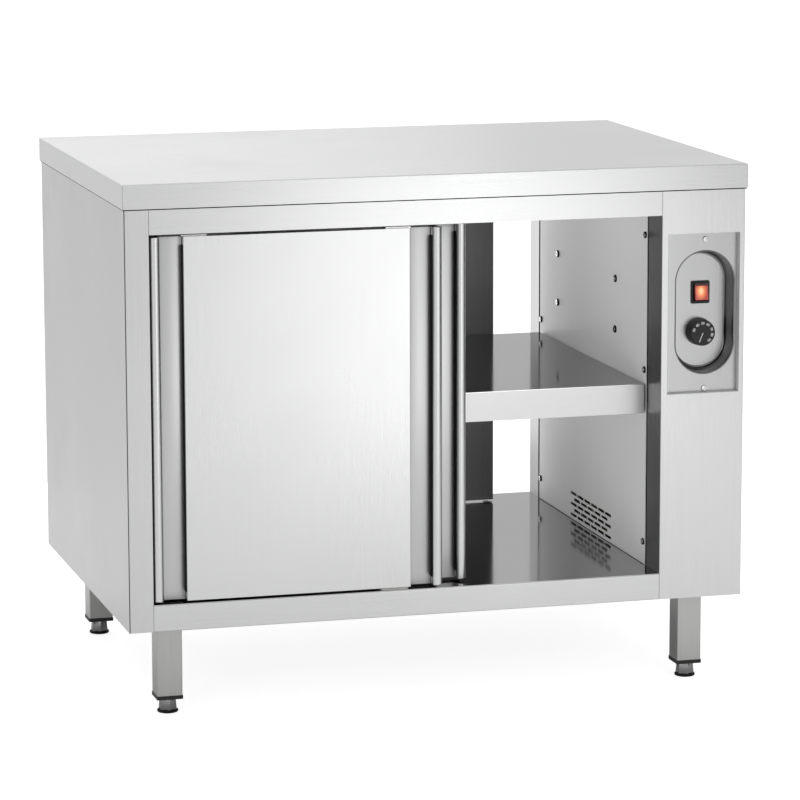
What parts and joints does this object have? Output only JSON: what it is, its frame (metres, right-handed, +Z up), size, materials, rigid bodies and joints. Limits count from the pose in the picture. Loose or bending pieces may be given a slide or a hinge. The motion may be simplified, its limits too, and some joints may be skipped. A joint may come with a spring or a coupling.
{
  "type": "heated plate cabinet",
  "caption": "Stainless steel plate warming cabinet on square legs, with pairs of sliding doors front and rear, an inner shelf and a recessed control dish.",
  "frame": {"origin": "middle of the footprint, on the floor that the feet stand on", "axes": "+X to the right seen from the front, +Y to the rear, +Z up; the front doors face -Y"},
  "size_m": [1, 0.7, 0.835],
  "materials": {
    "satin_steel": "satin stainless sheet with a fine brushed grain",
    "polished_steel": "bright rolled stainless sheet, almost a mirror",
    "bright_steel": "bright stainless turned parts",
    "board": "raw board, out of sight",
    "black_plastic": "black moulded plastic with a soft sheen",
    "nylon": "natural light-grey nylon",
    "red_lens": "translucent red rocker, lit from inside",
    "aluminium": "mill-finish aluminium",
    "galvanised": "galvanised sheet",
    "heater": "heat-tinted stainless tube and fins",
    "motor_paint": "black lacquered steel"
  },
  "bodies": {
    "cabinet": {"worktop": "satin_steel", "worktop_core": "board", "left_side_panel": "satin_steel", "right_housing_panel": "satin_steel", "front_top_rail": "satin_steel", "front_bottom_rail": "satin_steel", "rear_top_rail": "satin_steel", "rear_bottom_rail": "satin_steel", "cabinet_floor": "polished_steel", "cabinet_ceiling": "satin_steel", "left_liner": "polished_steel", "right_liner": "polished_steel", "panel_screws": "bright_steel", "shelf_pegs": "bright_steel", "leg_channels": "satin_steel", "leg_plugs": "black_plastic", "leg_front_left": "satin_steel", "leg_front_right": "satin_steel", "leg_rear_left": "satin_steel", "leg_rear_right": "satin_steel", "front_track": "aluminium", "rear_track": "aluminium", "front_floor_guide": "nylon", "rear_floor_guide": "nylon", "control_plate": "satin_steel", "switch_housing": "black_plastic", "thermostat_body": "black_plastic", "fan_scroll": "galvanised", "fan_motor": "motor_paint", "heater_element": "heater", "housing_base": "galvanised", "cable_gland": "black_plastic"},
    "shelf": {"shelf": "polished_steel"},
    "foot_front_left": {"foot_front_left": "satin_steel"},
    "foot_front_right": {"foot_front_right": "satin_steel"},
    "foot_rear_left": {"foot_rear_left": "satin_steel"},
    "foot_rear_right": {"foot_rear_right": "satin_steel"},
    "front_outer_door": {"front_outer_door_pan": "satin_steel", "front_outer_door_back": "satin_steel", "front_outer_door_hangers": "satin_steel"},
    "front_outer_door_left_roller": {"front_outer_door_left_roller": "nylon"},
    "front_outer_door_right_roller": {"front_outer_door_right_roller": "nylon"},
    "front_inner_door": {"front_inner_door_pan": "satin_steel", "front_inner_door_back": "satin_steel", "front_inner_door_hangers": "satin_steel"},
    "front_inner_door_left_roller": {"front_inner_door_left_roller": "nylon"},
    "front_inner_door_right_roller": {"front_inner_door_right_roller": "nylon"},
    "rear_outer_door": {"rear_outer_door_pan": "satin_steel", "rear_outer_door_back": "satin_steel", "rear_outer_door_hangers": "satin_steel"},
    "rear_outer_door_left_roller": {"rear_outer_door_left_roller": "nylon"},
    "rear_outer_door_right_roller": {"rear_outer_door_right_roller": "nylon"},
    "rear_inner_door": {"rear_inner_door_pan": "satin_steel", "rear_inner_door_back": "satin_steel", "rear_inner_door_hangers": "satin_steel"},
    "rear_inner_door_left_roller": {"rear_inner_door_left_roller": "nylon"},
    "rear_inner_door_right_roller": {"rear_inner_door_right_roller": "nylon"},
    "switch_rocker": {"switch_rocker": "red_lens"},
    "thermostat_knob": {"thermostat_knob": "black_plastic"},
    "fan_impeller": {"fan_impeller": "aluminium"}
  },
  "joints": [
    {"name": "shelf_lift", "type": "slide", "parent": "cabinet", "child": "shelf", "axis": [0, 0, 1], "range_m": [0, 0.165]},
    {"name": "foot_front_left_height", "type": "slide", "parent": "cabinet", "child": "foot_front_left", "axis": [0, 0, -1], "range_m": [0, 0.03]},
    {"name": "foot_front_right_height", "type": "slide", "parent": "cabinet", "child": "foot_front_right", "axis": [0, 0, -1], "range_m": [0, 0.03]},
    {"name": "foot_rear_left_height", "type": "slide", "parent": "cabinet", "child": "foot_rear_left", "axis": [0, 0, -1], "range_m": [0, 0.03]},
    {"name": "foot_rear_right_height", "type": "slide", "parent": "cabinet", "child": "foot_rear_right", "axis": [0, 0, -1], "range_m": [0, 0.03]},
    {"name": "front_outer_door_slide", "type": "slide", "parent": "cabinet", "child": "front_outer_door", "axis": [1, 0, 0], "range_m": [0, 0.3558]},
    {"name": "front_outer_door_left_roller_spin", "type": "hinge", "parent": "front_outer_door", "child": "front_outer_door_left_roller", "pos_m": [-0.3881, -0.3288, 0.7793], "axis": [0, 1, 0], "range_deg": [-2, 2267.1]},
    {"name": "front_outer_door_right_roller_spin", "type": "hinge", "parent": "front_outer_door", "child": "front_outer_door_right_roller", "pos_m": [-0.0671, -0.3288, 0.7793], "axis": [0, 1, 0], "range_deg": [-2, 2267.1]},
    {"name": "front_inner_door_slide", "type": "slide", "parent": "cabinet", "child": "front_inner_door", "axis": [1, 0, 0], "range_m": [-0.0482, 0.3076]},
    {"name": "front_inner_door_left_roller_spin", "type": "hinge", "parent": "front_inner_door", "child": "front_inner_door_left_roller", "pos_m": [-0.33989, -0.2953, 0.7793], "axis": [0, 1, 0], "range_deg": [-308.9, 1960.2]},
    {"name": "front_inner_door_right_roller_spin", "type": "hinge", "parent": "front_inner_door", "child": "front_inner_door_right_roller", "pos_m": [-0.01889, -0.2953, 0.7793], "axis": [0, 1, 0], "range_deg": [-308.9, 1960.2]},
    {"name": "rear_outer_door_slide", "type": "slide", "parent": "cabinet", "child": "rear_outer_door", "axis": [1, 0, 0], "range_m": [0, 0.3558]},
    {"name": "rear_outer_door_left_roller_spin", "type": "hinge", "parent": "rear_outer_door", "child": "rear_outer_door_left_roller", "pos_m": [-0.3881, 0.3288, 0.7793], "axis": [0, 1, 0], "range_deg": [-2, 2267.1]},
    {"name": "rear_outer_door_right_roller_spin", "type": "hinge", "parent": "rear_outer_door", "child": "rear_outer_door_right_roller", "pos_m": [-0.0671, 0.3288, 0.7793], "axis": [0, 1, 0], "range_deg": [-2, 2267.1]},
    {"name": "rear_inner_door_slide", "type": "slide", "parent": "cabinet", "child": "rear_inner_door", "axis": [1, 0, 0], "range_m": [-0.274, 0.0818]},
    {"name": "rear_inner_door_left_roller_spin", "type": "hinge", "parent": "rear_inner_door", "child": "rear_inner_door_left_roller", "pos_m": [-0.1141, 0.2953, 0.7793], "axis": [0, 1, 0], "range_deg": [-1746.3, 522.8]},
    {"name": "rear_inner_door_right_roller_spin", "type": "hinge", "parent": "rear_inner_door", "child": "rear_inner_door_right_roller", "pos_m": [0.2069, 0.2953, 0.7793], "axis": [0, 1, 0], "range_deg": [-1746.3, 522.8]},
    {"name": "switch_rocker_tilt", "type": "hinge", "parent": "cabinet", "child": "switch_rocker", "pos_m": [0.43835, -0.301, 0.6276], "axis": [1, 0, 0], "range_deg": [0, 14]},
    {"name": "thermostat_knob_turn", "type": "hinge", "parent": "cabinet", "child": "thermostat_knob", "pos_m": [0.43705, -0.305, 0.5646], "axis": [0, 1, 0], "range_deg": [0, 250]},
    {"name": "fan_impeller_spin", "type": "hinge", "parent": "cabinet", "child": "fan_impeller", "pos_m": [0.4256, 0.004, 0.2215], "axis": [0, 1, 0], "continuous": true}
  ],
  "couplings": [
    {"joint": "front_outer_door_left_roller_spin", "follows": "front_outer_door_slide", "rad_per_m": 111.11},
    {"joint": "front_outer_door_right_roller_spin", "follows": "front_outer_door_slide", "rad_per_m": 111.11},
    {"joint": "front_inner_door_left_roller_spin", "follows": "front_inner_door_slide", "rad_per_m": 111.11},
    {"joint": "front_inner_door_right_roller_spin", "follows": "front_inner_door_slide", "rad_per_m": 111.11},
    {"joint": "rear_outer_door_left_roller_spin", "follows": "rear_outer_door_slide", "rad_per_m": 111.11},
    {"joint": "rear_outer_door_right_roller_spin", "follows": "rear_outer_door_slide", "rad_per_m": 111.11},
    {"joint": "rear_inner_door_left_roller_spin", "follows": "rear_inner_door_slide", "rad_per_m": 111.11},
    {"joint": "rear_inner_door_right_roller_spin", "follows": "rear_inner_door_slide", "rad_per_m": 111.11}
  ]
}
